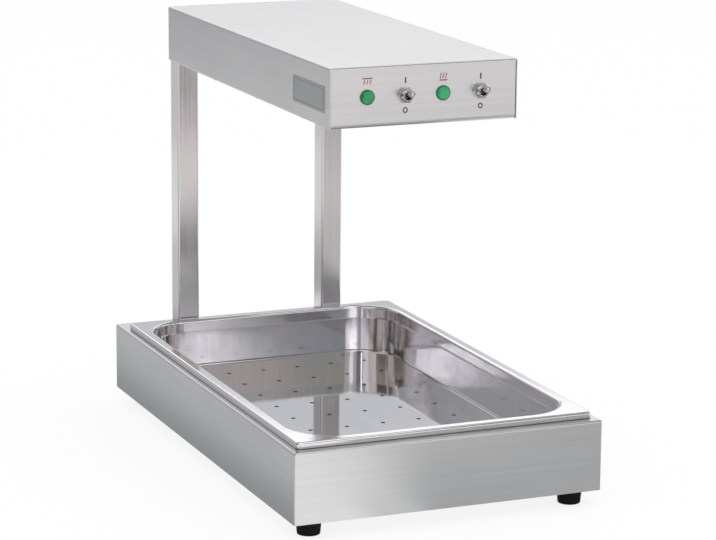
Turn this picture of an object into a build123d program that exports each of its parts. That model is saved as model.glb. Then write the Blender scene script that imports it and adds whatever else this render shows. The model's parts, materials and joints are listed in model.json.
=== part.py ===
from build123d import *

import os
from math import cos, radians, sin, tan

# Fry warmer: a heated base with a lift-out food pan, and an infrared hood carried on two posts.
# Millimetres. +X is the right side seen from the front, +Y is the back, +Z is up.
# The origin is on the table, under the middle of the whole outline.

os.makedirs("parts", exist_ok=True)

# Sheet metal and fits
sheet = 1.0  # casing sheet
fold_radius = 2.5  # outside radius of the casing's folds
seat_gap = 0.2  # between fixed pieces that sit side by side
rest_gap = 0.3  # under a piece that lifts out
thread_gap = 0.05  # around a screw in its thread
hole_gap = 0.3  # around a screw in a plain hole
run_gap = 0.05  # around a pin that something turns on

# Screws
screw_diameter = 4.0
screw_head = 8.0
screw_head_height = 2.4
low_head_height = 1.2
screw_head_round = 0.4
hexagon_sides = 6
recess_length = 4.4
recess_width = 1.0
recess_depth = 0.8

# Food pan
pan_width = 325.0
pan_length = 530.0
pan_depth = 65.0
pan_sheet = 0.8
pan_flange = 12.5  # from the rim's edge to the wall
pan_rise = 6.9  # rim above the deck
lip_gap = 0.5  # from the rim's turned-down edge to the deck
pan_rim_corner = 5.0
pan_rim_round = 2.4
pan_mouth_round = 3.0
pan_corner = 50.0  # upright corners, inside
pan_shoulder_drop = 14.0
pan_shoulder_step = 2.0
pan_draft = 2.0  # degrees
pan_bottom_round = 13.0  # inside

# Drain insert
insert_height = 10.0
insert_sheet = 1.0
insert_gap = 1.2  # to the pan's wall
insert_hole = 5.0
insert_pitch_x = 42.0
insert_pitch_y = 50.7
insert_columns = 6
insert_rows = 9
runner_width = 16.0
runner_inset = 35.0

# Base
front_ledge = 11.0  # deck in front of the pan's rim
side_ledge = 7.0  # deck beside the rim
well_gap = 2.5  # pan wall to the raised edge of the deck
floor_flange = 20.0
floor_margin = 6.0
floor_screw_length = 7.0
floor_screw_pitch = 160.0
end_screw_x = 50.0

# Feet
foot_height = 17.0  # table to the base shell
foot_top = 26.5
foot_bottom = 23.5
foot_inset_x = 24.5
foot_inset_y = 24.0
foot_rear_inset_x = 34.0
foot_rear_inset_y = 31.0
foot_recess = 11.0
foot_recess_depth = 7.0
foot_screw_end = 4.0  # screw above the floor plate
foot_round = 1.0

# Base heater, from the floor plate upwards
mat_thickness = 3.0
element_gap = 2.9  # mat to element
element_diameter = 6.5
spreader_thickness = 2.0
spreader_gap = 2.0  # spreader to pan
spreader_width = 280.0
spreader_length = 470.0
spreader_corner = 20.0
mat_margin = 6.0  # spreader edge to mat edge
element_legs = 4
element_pitch = 60.0
element_run = 380.0
element_pin = 3.5
element_pin_length = 15.0
clamp_spread = 260.0  # between the two clamp bars
clamp_width = 12.0
clamp_thickness = 1.5
clamp_overhang = 12.0  # bar past the outer legs
spacer_diameter = 10.0
spacer_spread_x = 240.0
spacer_spread_y = 430.0
spacer_thread = 4.0
spacer_clear = 2.0  # mat hole around a spacer
cutout_diameter = 16.5
cutout_height = 7.5
cutout_offset = 60.0  # behind the pan's middle

# Terminal blocks and cables
block_width = 54.0
block_depth = 18.0
block_height = 20.0
block_poles = 5
block_bore = 5.0
block_screw_hole = 4.0
riser_diameter = 7.0
riser_bend = 20.0
riser_slot_gap = 2.0
riser_slot_corner = 3.5
loom_diameter = 6.0
loom_bend = 15.0
loom_start = 20.0  # from the block's middle
loom_reach = 30.0  # straight out of the block
lead_diameter = 3.0
lead_bend = 10.0
element_lead_x = 15.0
element_lead_reach = 24.0
emitter_lead_x = 5.0
emitter_lead_bend = 4.0
emitter_lead_rise = 5.0

# Cable gland in the base's back wall
gland_inset = 39.0  # from the base's right side
gland_rise = 40.0  # above the base shell's underside
gland_thread = 16.0
gland_bore = 10.0
gland_across = 22.0  # hexagon, across the flats
gland_flange = 5.0
gland_outer_thread = 8.0
gland_inner_thread = 9.0
gland_cap_length = 14.0
gland_cap_round = 3.0
gland_nut_thickness = 5.0
gland_seal_wall = 2.4
gland_seal_bore = 8.0
gland_seal_length = 7.0

# Posts
post_size = 25.0
post_wall = 1.5
post_corner = 2.0
post_front_gap = 1.5  # pan rim to post
post_back_gap = 1.0  # post to the casing's back wall
post_screw_length = 9.0
post_screw_low = 20.0  # from the bottom of base or hood
post_screw_high = 48.0
post_top_gap = 2.0

# Hood
hood_width = 205.0
hood_length = 490.5
hood_height = 62.3
hood_clear = 304.2  # deck to hood
hood_flange = 14.0
hood_screw_length = 6.0
hood_screw_pitch = 130.0
panel_inset = 0.8  # panel behind the cover's front edge
panel_gap = 0.5
panel_bend = 5.0  # outside radius of the panel's fold
panel_flange = 32.0
panel_relief = 8.0
panel_screw_x = 60.0
back_flange = 14.0
back_screw_x = 45.0

# Infrared heater in the hood
heater_setback = 215.0  # hood front to the heater's middle
opening_width = 100.0
opening_length = 262.0
opening_corner = 6.0
guard_wire = 2.4
guard_weld = 0.4
guard_lap = 6.0  # guard past the opening's edge
guard_long_wires = 5
guard_cross_wires = 12
guard_end = 4.0  # wire past the outer crossing
reflector_margin = 3.0  # guard to reflector
reflector_sheet = 0.8
reflector_height = 34.0
reflector_taper = 28.0  # degrees
reflector_corner = 8.0
reflector_foot = 10.0
reflector_screw_inset = 70.0  # from the reflector's end
emitter_width = 60.0
emitter_length = 245.0
emitter_sag = 9.0
emitter_thickness = 8.0
emitter_gap = 3.0  # crown to reflector
emitter_round = 2.0
boss_width = 18.0
boss_length = 40.0
boss_corner = 6.0
boss_rise = 14.0  # above the reflector
boss_gap = 1.0
neck_depth = 2.0
neck_gap = 0.2
clip_thickness = 1.5
clip_margin = 9.0

# Control panel
control_rise = 31.0  # above the hood's underside
control_count = 4
control_pitch = 41.35
lamp_lens = 15.6
lamp_flange = 1.5
lamp_dome = 4.5
lamp_dome_round = 3.5
lamp_stub = 9.0
lamp_stub_length = 6.0
lamp_body = 12.4
lamp_body_length = 26.0
lamp_blade = 5.0
lamp_blade_width = 4.0
lamp_blade_thickness = 0.8
lamp_nut = 19.0
lamp_nut_thickness = 2.5
bush_diameter = 12.0
bush_reach = 8.0  # in front of the panel
bush_bore = 7.8
switch_nut = 15.0  # across the flats
switch_nut_thickness = 3.0
switch_nut_round = 0.6
case_width = 17.0
case_height = 30.0
case_depth = 24.0
case_gap = 1.0  # panel to switch case
case_blade = 8.0
case_blade_width = 6.3
case_blade_thickness = 0.8
case_blade_pitch = 10.0
lever_tilt = 14.0  # degrees, up at rest
lever_depth = 4.0  # pivot inside the bush's mouth
lever_reach = 17.0  # pivot to tip
lever_ball = 6.0
lever_neck = 3.6
lever_tip = 6.4
lever_tail = 7.0
lever_tail_diameter = 2.4
lever_pin = 2.0

# Rating plate
plate_length = 85.0
plate_height = 27.0
plate_thickness = 0.6
plate_setback = 14.0  # behind the hood's front
plate_rise = 15.0  # above the hood's underside

# Places worked out from the sizes above
gland_reach = gland_flange + gland_cap_length
base_width = pan_width + 2 * side_ledge
base_depth = front_ledge + pan_length + post_front_gap + post_size + post_back_gap + sheet
front_y = -(base_depth + gland_reach) / 2
back_y = front_y + base_depth
base_y = (front_y + back_y) / 2
pan_y = front_y + front_ledge + pan_length / 2

base_z = foot_height
mat_top = base_z + mat_thickness
element_z = mat_top + element_gap + element_diameter / 2
spreader_z = element_z + element_diameter / 2
spreader_top = spreader_z + spreader_thickness
rim_z = spreader_top + spreader_gap + pan_depth
deck_z = rim_z - pan_rise
pan_floor_z = rim_z - pan_depth + pan_sheet
shoulder_z = rim_z - pan_shoulder_drop

mouth_width = pan_width - 2 * pan_flange
mouth_length = pan_length - 2 * pan_flange
lower_width = mouth_width - 2 * pan_shoulder_step
lower_length = mouth_length - 2 * pan_shoulder_step
lower_corner = pan_corner - pan_shoulder_step
well_width = mouth_width + 2 * (pan_sheet + well_gap)
well_length = mouth_length + 2 * (pan_sheet + well_gap)
well_corner = pan_corner + pan_sheet + well_gap
coaming_top = rim_z - pan_sheet - rest_gap

hood_z = deck_z + hood_clear
hood_top = hood_z + hood_height
hood_front = back_y - hood_length
hood_floor_z = hood_z + sheet
hood_inside_z = hood_floor_z + sheet
hood_inner_width = hood_width - 2 * sheet
panel_front = hood_front + panel_inset
panel_back = panel_front + sheet

post_x = hood_width / 2 - sheet - seat_gap - post_size / 2
post_y = back_y - sheet - post_back_gap - post_size / 2
post_foot = base_z + sheet
post_head = hood_top - sheet - post_top_gap
post_inner_x = post_x - post_size / 2
post_front = post_y - post_size / 2

heater_y = hood_front + heater_setback
guard_width = opening_width + 2 * guard_lap
guard_length = opening_length + 2 * guard_lap
reflector_width = guard_width + 2 * reflector_margin
reflector_length = guard_length + 2 * reflector_margin
reflector_top = hood_inside_z + reflector_height
emitter_crown = reflector_top - reflector_sheet - emitter_gap

control_z = hood_z + control_rise
block_low_z = post_foot + block_height / 2
gland_x = base_width / 2 - gland_inset
gland_z = base_z + gland_rise

screw_hole = screw_diameter / 2 + hole_gap
screw_thread = screw_diameter / 2 + thread_gap

foot_x = base_width / 2 - foot_inset_x
foot_rear_x = base_width / 2 - foot_rear_inset_x
foot_front_y = front_y + foot_inset_y
foot_rear_y = back_y - foot_rear_inset_y
foot_spots = {
    "foot_front_left": (-foot_x, foot_front_y),
    "foot_front_right": (foot_x, foot_front_y),
    "foot_rear_left": (-foot_rear_x, foot_rear_y),
    "foot_rear_right": (foot_rear_x, foot_rear_y),
}
side_screw_x = (base_width - floor_flange) / 2
end_screw_y = (base_depth - floor_flange) / 2
floor_screw_spots = [
    (x, base_y + step * floor_screw_pitch) for x in (-side_screw_x, side_screw_x) for step in (-1, 0, 1)
]
floor_screw_spots += [
    (x, base_y + y) for x in (-end_screw_x, end_screw_x) for y in (-end_screw_y, end_screw_y)
]
spacer_spots = [
    (x * spacer_spread_x / 2, pan_y + y * spacer_spread_y / 2) for x in (-1, 1) for y in (-1, 1)
]
clamp_spots = [
    ((leg - element_legs / 2) * element_pitch, pan_y + y * clamp_spread / 2)
    for leg in range(1, element_legs)
    for y in (-1, 1)
]
post_screw_rises = (post_screw_low, post_screw_high)
base_post_holes = [(x, base_z + rise) for x in (-post_x, post_x) for rise in post_screw_rises]
hood_post_holes = [(x, hood_z + rise) for x in (-post_x, post_x) for rise in post_screw_rises]
side_flange_x = (hood_width - hood_flange) / 2
panel_screw_y = panel_front + panel_flange / 2
back_screw_y = back_y - back_flange / 2
hood_screw_spots = [
    (x, heater_y + step * hood_screw_pitch) for x in (-side_flange_x, side_flange_x) for step in (-1, 0, 1)
]
hood_screw_spots += [(x, panel_screw_y) for x in (-panel_screw_x, panel_screw_x)]
hood_screw_spots += [(x, back_screw_y) for x in (-back_screw_x, back_screw_x)]
reflector_screw_x = (reflector_width + reflector_foot) / 2
reflector_screw_y = reflector_length / 2 - reflector_screw_inset
reflector_screw_spots = [
    (x, heater_y + y)
    for x in (-reflector_screw_x, reflector_screw_x)
    for y in (-reflector_screw_y, reflector_screw_y)
]


def save(part, name):
    """Label a finished piece and write it under its own name."""
    part.label = name
    export_step(part, f"parts/{name}.step")


def screw(length, head_height):
    """Cross-recessed screw along +Z: its shank stands on the seat plane, its head is under it."""
    with BuildPart() as piece:
        Cylinder(screw_diameter / 2, length, align=(Align.CENTER, Align.CENTER, Align.MIN))
        Cylinder(screw_head / 2, head_height, align=(Align.CENTER, Align.CENTER, Align.MAX))
        head_edge = piece.edges().filter_by(GeomType.CIRCLE).sort_by(Axis.Z)[0]
        fillet(head_edge, screw_head_round)
        with Locations((0, 0, -head_height)):
            for turn in (0, 90):
                Box(
                    recess_length,
                    recess_width,
                    2 * recess_depth,
                    rotation=(0, 0, turn),
                    mode=Mode.SUBTRACT,
                )
    return piece.part


def tube_along(points, bend, diameter):
    """Round cable or wire along straight runs joined by arcs of one radius."""
    with BuildPart() as piece:
        with BuildLine():
            path = FilletPolyline(*points, radius=bend)
        with BuildSketch(Plane(origin=path @ 0, z_dir=path % 0)):
            Circle(diameter / 2)
        sweep()
    return piece.part


def terminal_block(centre):
    """Ceramic block with a row of wire bores from front to back, each under a screw hole."""
    pitch = block_width / block_poles
    with BuildPart() as piece:
        with Locations(centre):
            Box(block_width, block_depth, block_height)
        with Locations(centre):
            with GridLocations(pitch, 0, block_poles, 1):
                Cylinder(block_bore / 2, block_depth, rotation=(90, 0, 0), mode=Mode.SUBTRACT)
                Cylinder(
                    block_screw_hole / 2,
                    block_height / 2,
                    align=(Align.CENTER, Align.CENTER, Align.MIN),
                    mode=Mode.SUBTRACT,
                )
    return piece.part


# Food pan: hollow rim, straight mouth, shoulder, then drafted walls and a rounded bottom
shoulder_plane = Plane(origin=(0, pan_y, shoulder_z), x_dir=(1, 0, 0), z_dir=(0, 0, -1))
with BuildPart() as pan_inside:
    with BuildSketch(shoulder_plane):
        RectangleRounded(lower_width, lower_length, lower_corner)
    extrude(amount=pan_depth - pan_shoulder_drop - pan_sheet, taper=pan_draft)
    fillet(pan_inside.faces().sort_by(Axis.Z)[0].edges(), pan_bottom_round)
    with BuildSketch(shoulder_plane):
        RectangleRounded(mouth_width, mouth_length, pan_corner)
    extrude(amount=-pan_shoulder_drop)

with BuildPart() as food_pan:
    with BuildSketch(Plane.XY.offset(rim_z)):
        with Locations((0, pan_y)):
            RectangleRounded(pan_width, pan_length, pan_rim_corner)
    extrude(amount=lip_gap - pan_rise)
    fillet(food_pan.faces().sort_by(Axis.Z)[-1].edges(), pan_rim_round)
    offset(amount=-pan_sheet, openings=food_pan.faces().sort_by(Axis.Z)[0])
    with BuildSketch(Plane.XY.offset(rim_z)):
        with Locations((0, pan_y)):
            RectangleRounded(
                mouth_width + 2 * pan_sheet, mouth_length + 2 * pan_sheet, pan_corner + pan_sheet
            )
    extrude(amount=-pan_shoulder_drop - pan_sheet)
    with BuildSketch(shoulder_plane):
        RectangleRounded(
            lower_width + 2 * pan_sheet, lower_length + 2 * pan_sheet, lower_corner + pan_sheet
        )
    extrude(amount=pan_depth - pan_shoulder_drop, taper=pan_draft)
    fillet(food_pan.faces().sort_by(Axis.Z)[0].edges(), pan_bottom_round + pan_sheet)
    add(pan_inside.part, mode=Mode.SUBTRACT)
    rim_top = food_pan.faces().filter_by(Axis.Z).sort_by(Axis.Z)[-1]
    fillet(rim_top.inner_wires()[0].edges(), pan_mouth_round)
save(food_pan.part, "food_pan")

# Drain insert: holed plate on two folded runners
insert_base = pan_floor_z + rest_gap
insert_top = insert_base + insert_height
insert_plate_z = insert_top - insert_sheet
wall_lean = (shoulder_z - insert_top) * tan(radians(pan_draft))
insert_width = lower_width - 2 * (wall_lean + insert_gap)
insert_length = lower_length - 2 * (wall_lean + insert_gap)
runner_x = insert_pitch_x * (insert_columns // 2 - 1)
with BuildPart() as drain_insert:
    with BuildSketch(Plane.XY.offset(insert_plate_z)):
        with Locations((0, pan_y)):
            RectangleRounded(insert_width, insert_length, lower_corner - wall_lean - insert_gap)
            with GridLocations(insert_pitch_x, insert_pitch_y, insert_columns, insert_rows):
                Circle(insert_hole / 2, mode=Mode.SUBTRACT)
    extrude(amount=insert_sheet)
    with BuildSketch(Plane.XY.offset(insert_base)):
        with Locations((-runner_x, pan_y), (runner_x, pan_y)):
            Rectangle(runner_width, insert_length - 2 * runner_inset)
            Rectangle(
                runner_width - 2 * insert_sheet,
                insert_length - 2 * runner_inset,
                mode=Mode.SUBTRACT,
            )
    extrude(amount=insert_height - insert_sheet)
save(drain_insert.part, "drain_insert")

# Base shell: folded box with a deck, a raised edge round the well, and a flange for the floor plate
with BuildPart() as base_shell:
    with BuildSketch(Plane.XY.offset(base_z)):
        with Locations((0, base_y)):
            RectangleRounded(base_width, base_depth, fold_radius)
    extrude(amount=deck_z - base_z)
    fillet(base_shell.faces().sort_by(Axis.Z)[-1].edges(), fold_radius)
    offset(amount=-sheet, openings=base_shell.faces().sort_by(Axis.Z)[0])
    with BuildSketch(Plane.XY.offset(deck_z - sheet)):
        with Locations((0, pan_y)):
            RectangleRounded(well_width + 2 * sheet, well_length + 2 * sheet, well_corner + sheet)
    extrude(amount=coaming_top - deck_z + sheet)
    with BuildSketch(Plane.XY.offset(coaming_top)):
        with Locations((0, pan_y)):
            RectangleRounded(well_width, well_length, well_corner)
    extrude(amount=deck_z - sheet - coaming_top, mode=Mode.SUBTRACT)
    with BuildSketch(Plane.XY.offset(base_z)):
        with Locations((0, base_y)):
            Rectangle(base_width - sheet, base_depth - sheet)
            Rectangle(
                base_width - 2 * floor_flange, base_depth - 2 * floor_flange, mode=Mode.SUBTRACT
            )
        with Locations(*floor_screw_spots):
            Circle(screw_thread, mode=Mode.SUBTRACT)
    extrude(amount=sheet)
    with BuildSketch(Plane.XY.offset(deck_z)):
        with Locations((-post_x, post_y), (post_x, post_y)):
            Rectangle(post_size + 2 * seat_gap, post_size + 2 * seat_gap)
    extrude(amount=-sheet - fold_radius, mode=Mode.SUBTRACT)
    with BuildSketch(Plane.XZ.offset(-back_y)):
        with Locations((gland_x, gland_z)):
            Circle(gland_thread / 2 + hole_gap)
        with Locations(*base_post_holes):
            Circle(screw_hole)
    extrude(amount=sheet, mode=Mode.SUBTRACT)
save(base_shell.part, "base_shell")

# Base floor plate, screwed under the shell's flange
with BuildPart() as base_floor:
    with BuildSketch(Plane.XY.offset(base_z - sheet)):
        with Locations((0, base_y)):
            RectangleRounded(base_width - 2 * floor_margin, base_depth - 2 * floor_margin, fold_radius)
        with Locations(*floor_screw_spots, *spacer_spots):
            Circle(screw_hole, mode=Mode.SUBTRACT)
        with Locations(*foot_spots.values()):
            Circle(screw_thread, mode=Mode.SUBTRACT)
    extrude(amount=sheet)
save(base_floor.part, "base_floor")

with BuildPart() as floor_screws:
    with Locations(*[(x, y, base_z - sheet) for x, y in floor_screw_spots]):
        add(screw(floor_screw_length, low_head_height))
save(floor_screws.part, "floor_screws")

# Feet: tapered rubber with a recess for the screw
foot_body = foot_height - sheet
for foot_name, (foot_spot_x, foot_spot_y) in foot_spots.items():
    with BuildPart(Plane(origin=(foot_spot_x, foot_spot_y, 0))) as foot:
        Cone(
            foot_bottom / 2,
            foot_top / 2,
            foot_body,
            align=(Align.CENTER, Align.CENTER, Align.MIN),
        )
        fillet(foot.faces().sort_by(Axis.Z)[0].edges(), foot_round)
        Cylinder(
            foot_recess / 2,
            foot_recess_depth,
            align=(Align.CENTER, Align.CENTER, Align.MIN),
            mode=Mode.SUBTRACT,
        )
        Cylinder(
            screw_hole,
            foot_body,
            align=(Align.CENTER, Align.CENTER, Align.MIN),
            mode=Mode.SUBTRACT,
        )
    save(foot.part, foot_name)

foot_screw_length = foot_body - foot_recess_depth + sheet + foot_screw_end
with BuildPart() as foot_screws:
    with Locations(*[(x, y, foot_recess_depth) for x, y in foot_spots.values()]):
        add(screw(foot_screw_length, screw_head_height))
save(foot_screws.part, "foot_screws")

# Base heater: insulation mat, spacers, spreader plate, bent element, clamp bars and cut-out
with BuildPart() as insulation_mat:
    with BuildSketch(Plane.XY.offset(base_z)):
        with Locations((0, pan_y)):
            RectangleRounded(
                spreader_width - 2 * mat_margin, spreader_length - 2 * mat_margin, spreader_corner
            )
        with Locations(*spacer_spots):
            Circle(spacer_diameter / 2 + spacer_clear, mode=Mode.SUBTRACT)
    extrude(amount=mat_thickness)
save(insulation_mat.part, "insulation_mat")

with BuildPart() as plate_spacers:
    with BuildSketch(Plane.XY.offset(base_z)):
        with Locations(*spacer_spots):
            Circle(spacer_diameter / 2)
            Circle(screw_thread, mode=Mode.SUBTRACT)
    extrude(amount=spreader_z - base_z)
save(plate_spacers.part, "plate_spacers")

with BuildPart() as spreader_plate:
    with BuildSketch(Plane.XY.offset(spreader_z)):
        with Locations((0, pan_y)):
            RectangleRounded(spreader_width, spreader_length, spreader_corner)
        with Locations(*spacer_spots, *clamp_spots):
            Circle(screw_hole, mode=Mode.SUBTRACT)
    extrude(amount=spreader_thickness)
save(spreader_plate.part, "spreader_plate")

with BuildPart() as spacer_screws:
    with Locations(*[(x, y, base_z - sheet) for x, y in spacer_spots]):
        add(screw(sheet + spacer_thread, low_head_height))
    for x, y in spacer_spots:
        with Locations(Plane(origin=(x, y, spreader_top), z_dir=(0, 0, -1)).location):
            add(screw(spreader_thickness + spacer_thread, low_head_height))
save(spacer_screws.part, "spacer_screws")

element_back = pan_y + element_run / 2
element_first_x = -(element_legs - 1) / 2 * element_pitch
with BuildPart() as base_element:
    with BuildLine(Plane.XY.offset(element_z)):
        for leg in range(element_legs):
            leg_x = element_first_x + leg * element_pitch
            heading = -1 if leg % 2 == 0 else 1
            leg_start = (leg_x, pan_y - heading * element_run / 2)
            leg_end = (leg_x, pan_y + heading * element_run / 2)
            Line(leg_start, leg_end)
            if leg + 1 < element_legs:
                turn_middle = (leg_x + element_pitch / 2, leg_end[1] + heading * element_pitch / 2)
                ThreePointArc(leg_end, turn_middle, (leg_x + element_pitch, leg_end[1]))
    with BuildSketch(Plane(origin=(element_first_x, element_back, element_z), z_dir=(0, -1, 0))):
        Circle(element_diameter / 2)
    sweep()
    with BuildSketch(Plane(origin=(0, element_back, element_z), x_dir=(1, 0, 0), z_dir=(0, 1, 0))):
        with Locations((element_first_x, 0), (-element_first_x, 0)):
            Circle(element_pin / 2)
    extrude(amount=element_pin_length)
save(base_element.part, "base_element")

clamp_top = element_z - element_diameter / 2
clamp_length = (element_legs - 1) * element_pitch + 2 * clamp_overhang
with BuildPart() as element_clamps:
    with BuildSketch(Plane.XY.offset(clamp_top)):
        with Locations((0, pan_y - clamp_spread / 2), (0, pan_y + clamp_spread / 2)):
            Rectangle(clamp_length, clamp_width)
        with Locations(*clamp_spots):
            Circle(screw_thread, mode=Mode.SUBTRACT)
    extrude(amount=-clamp_thickness)
save(element_clamps.part, "element_clamps")

clamp_screw_length = spreader_thickness + element_diameter + clamp_thickness
with BuildPart() as clamp_screws:
    for x, y in clamp_spots:
        with Locations(Plane(origin=(x, y, spreader_top), z_dir=(0, 0, -1)).location):
            add(screw(clamp_screw_length, low_head_height))
save(clamp_screws.part, "clamp_screws")

with BuildPart() as thermal_cutout:
    with BuildSketch(Plane.XY.offset(spreader_z)):
        with Locations((0, pan_y + cutout_offset)):
            Circle(cutout_diameter / 2)
    extrude(amount=-cutout_height)
save(thermal_cutout.part, "thermal_cutout")

# Terminal block in the base and the leads from it to the element's pins
save(terminal_block((0, post_y, block_low_z)), "base_terminal_block")

lead_start_y = element_back + element_pin_length
lead_turn_y = lead_start_y + element_lead_reach
block_front = post_y - block_depth / 2
with BuildPart() as element_leads:
    for side in (-1, 1):
        lead_route = [
            (side * element_first_x, lead_start_y, element_z),
            (side * element_first_x, lead_turn_y, element_z),
            (-side * element_lead_x, lead_turn_y, element_z),
            (-side * element_lead_x, block_front, element_z),
        ]
        add(tube_along(lead_route, lead_bend, lead_diameter))
save(element_leads.part, "element_leads")

# Cable gland: flanged body through the back wall, lock nut inside, cap and seal outside
gland_plane = Plane(origin=(gland_x, back_y, gland_z), x_dir=(1, 0, 0), z_dir=(0, 1, 0))
gland_end = gland_flange + gland_outer_thread
seal_radius = gland_seal_bore / 2 + gland_seal_wall
seal_start = gland_end - gland_seal_length
with BuildPart(gland_plane) as gland_body:
    with BuildSketch(gland_plane):
        RegularPolygon(gland_across / 2, hexagon_sides, major_radius=False)
    extrude(amount=gland_flange)
    with BuildSketch(gland_plane.offset(-sheet - gland_inner_thread)):
        Circle(gland_thread / 2)
    extrude(amount=sheet + gland_inner_thread + gland_end)
    with BuildSketch(gland_plane.offset(-sheet - gland_inner_thread)):
        Circle(gland_bore / 2)
    extrude(amount=sheet + gland_inner_thread + gland_end, mode=Mode.SUBTRACT)
    with BuildSketch(gland_plane.offset(seal_start)):
        Circle(seal_radius + thread_gap)
    extrude(amount=gland_seal_length, mode=Mode.SUBTRACT)
save(gland_body.part, "gland_body")

with BuildPart() as gland_locknut:
    with BuildSketch(gland_plane.offset(-sheet)):
        RegularPolygon(gland_across / 2, hexagon_sides, major_radius=False)
        Circle(gland_thread / 2 + thread_gap, mode=Mode.SUBTRACT)
    extrude(amount=-gland_nut_thickness)
save(gland_locknut.part, "gland_locknut")

with BuildPart() as gland_seal:
    with BuildSketch(gland_plane.offset(seal_start)):
        Circle(seal_radius)
        Circle(gland_seal_bore / 2, mode=Mode.SUBTRACT)
    extrude(amount=gland_seal_length)
save(gland_seal.part, "gland_seal")

with BuildPart() as gland_cap:
    with BuildSketch(gland_plane.offset(gland_flange)):
        Circle(gland_across / 2)
    extrude(amount=gland_cap_length)
    fillet(gland_cap.faces().sort_by(Axis.Y)[-1].edges(), gland_cap_round)
    with BuildSketch(gland_plane.offset(gland_flange)):
        Circle(gland_thread / 2 + thread_gap)
    extrude(amount=gland_outer_thread + seat_gap, mode=Mode.SUBTRACT)
    with BuildSketch(gland_plane.offset(gland_flange)):
        Circle(gland_bore / 2)
    extrude(amount=gland_cap_length, mode=Mode.SUBTRACT)
save(gland_cap.part, "gland_cap")

# Posts: square tubes from the base's flange up into the hood, the right one with two cable slots
slot_width = riser_diameter + 2 * riser_slot_gap
slot_height = riser_bend + slot_width
post_holes = base_post_holes + hood_post_holes
for post_name, side in (("post_left", -1), ("post_right", 1)):
    with BuildPart() as post:
        with BuildSketch(Plane.XY.offset(post_foot)):
            with Locations((side * post_x, post_y)):
                RectangleRounded(post_size, post_size, post_corner)
                Rectangle(post_size - 2 * post_wall, post_size - 2 * post_wall, mode=Mode.SUBTRACT)
        extrude(amount=post_head - post_foot)
        with BuildSketch(Plane.XZ.offset(-post_y - post_size / 2)):
            with Locations(*[(x, z) for x, z in post_holes if x * side > 0]):
                Circle(screw_thread)
        extrude(amount=post_wall, mode=Mode.SUBTRACT)
        if side > 0:
            with BuildSketch(Plane.YZ.offset(post_inner_x)):
                with Locations((post_y, block_low_z), (post_y, control_z)):
                    RectangleRounded(slot_width, slot_height, riser_slot_corner)
            extrude(amount=post_wall, mode=Mode.SUBTRACT)
    save(post.part, post_name)

with BuildPart() as post_screws:
    for x, z in post_holes:
        with Locations(Plane(origin=(x, back_y, z), z_dir=(0, -1, 0)).location):
            add(screw(post_screw_length, screw_head_height))
save(post_screws.part, "post_screws")

riser_route = [
    (block_width / 2, post_y, block_low_z),
    (post_x, post_y, block_low_z),
    (post_x, post_y, control_z),
    (block_width / 2, post_y, control_z),
]
save(tube_along(riser_route, riser_bend, riser_diameter), "riser_cable")

# Hood cover: top and sides folded from one sheet, with a flange turned in under each side
cover_side = (hood_width - sheet) / 2
cover_low = hood_z + sheet / 2
cover_high = hood_top - sheet / 2
flange_end = hood_width / 2 - hood_flange
with BuildPart() as hood_cover:
    with BuildSketch(Plane.XZ.offset(-back_y)):
        with BuildLine():
            FilletPolyline(
                (-flange_end, cover_low),
                (-cover_side, cover_low),
                (-cover_side, cover_high),
                (cover_side, cover_high),
                (cover_side, cover_low),
                (flange_end, cover_low),
                radius=fold_radius - sheet / 2,
            )
        trace(line_width=sheet)
    extrude(amount=hood_length)
    with BuildSketch(Plane.XY.offset(hood_z)):
        with Locations((0, hood_front + panel_relief / 2)):
            Rectangle(hood_inner_width, panel_relief)
        with Locations((0, (post_front - seat_gap + back_y) / 2)):
            Rectangle(hood_inner_width, back_y - post_front + seat_gap)
        with Locations(*hood_screw_spots):
            Circle(screw_hole)
    extrude(amount=fold_radius, mode=Mode.SUBTRACT)
save(hood_cover.part, "hood_cover")

# Hood floor: plate inside the cover with the heater's opening and a notch for each post
floor_front = panel_front + panel_bend + seat_gap
floor_back = back_y - sheet - seat_gap
with BuildPart() as hood_floor:
    with BuildSketch(Plane.XY.offset(hood_floor_z)):
        with Locations((0, (floor_front + floor_back) / 2)):
            Rectangle(hood_inner_width - 2 * fold_radius, floor_back - floor_front)
        with Locations((0, heater_y)):
            RectangleRounded(opening_width, opening_length, opening_corner, mode=Mode.SUBTRACT)
        with Locations((-post_x, post_y), (post_x, post_y)):
            Rectangle(post_size + 2 * seat_gap, post_size + 2 * seat_gap, mode=Mode.SUBTRACT)
        with Locations(*hood_screw_spots, *reflector_screw_spots):
            Circle(screw_thread, mode=Mode.SUBTRACT)
    extrude(amount=sheet)
save(hood_floor.part, "hood_floor")

with BuildPart() as hood_screws:
    with Locations(*[(x, y, hood_z) for x, y in hood_screw_spots]):
        add(screw(hood_screw_length, low_head_height))
save(hood_screws.part, "hood_screws")

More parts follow.
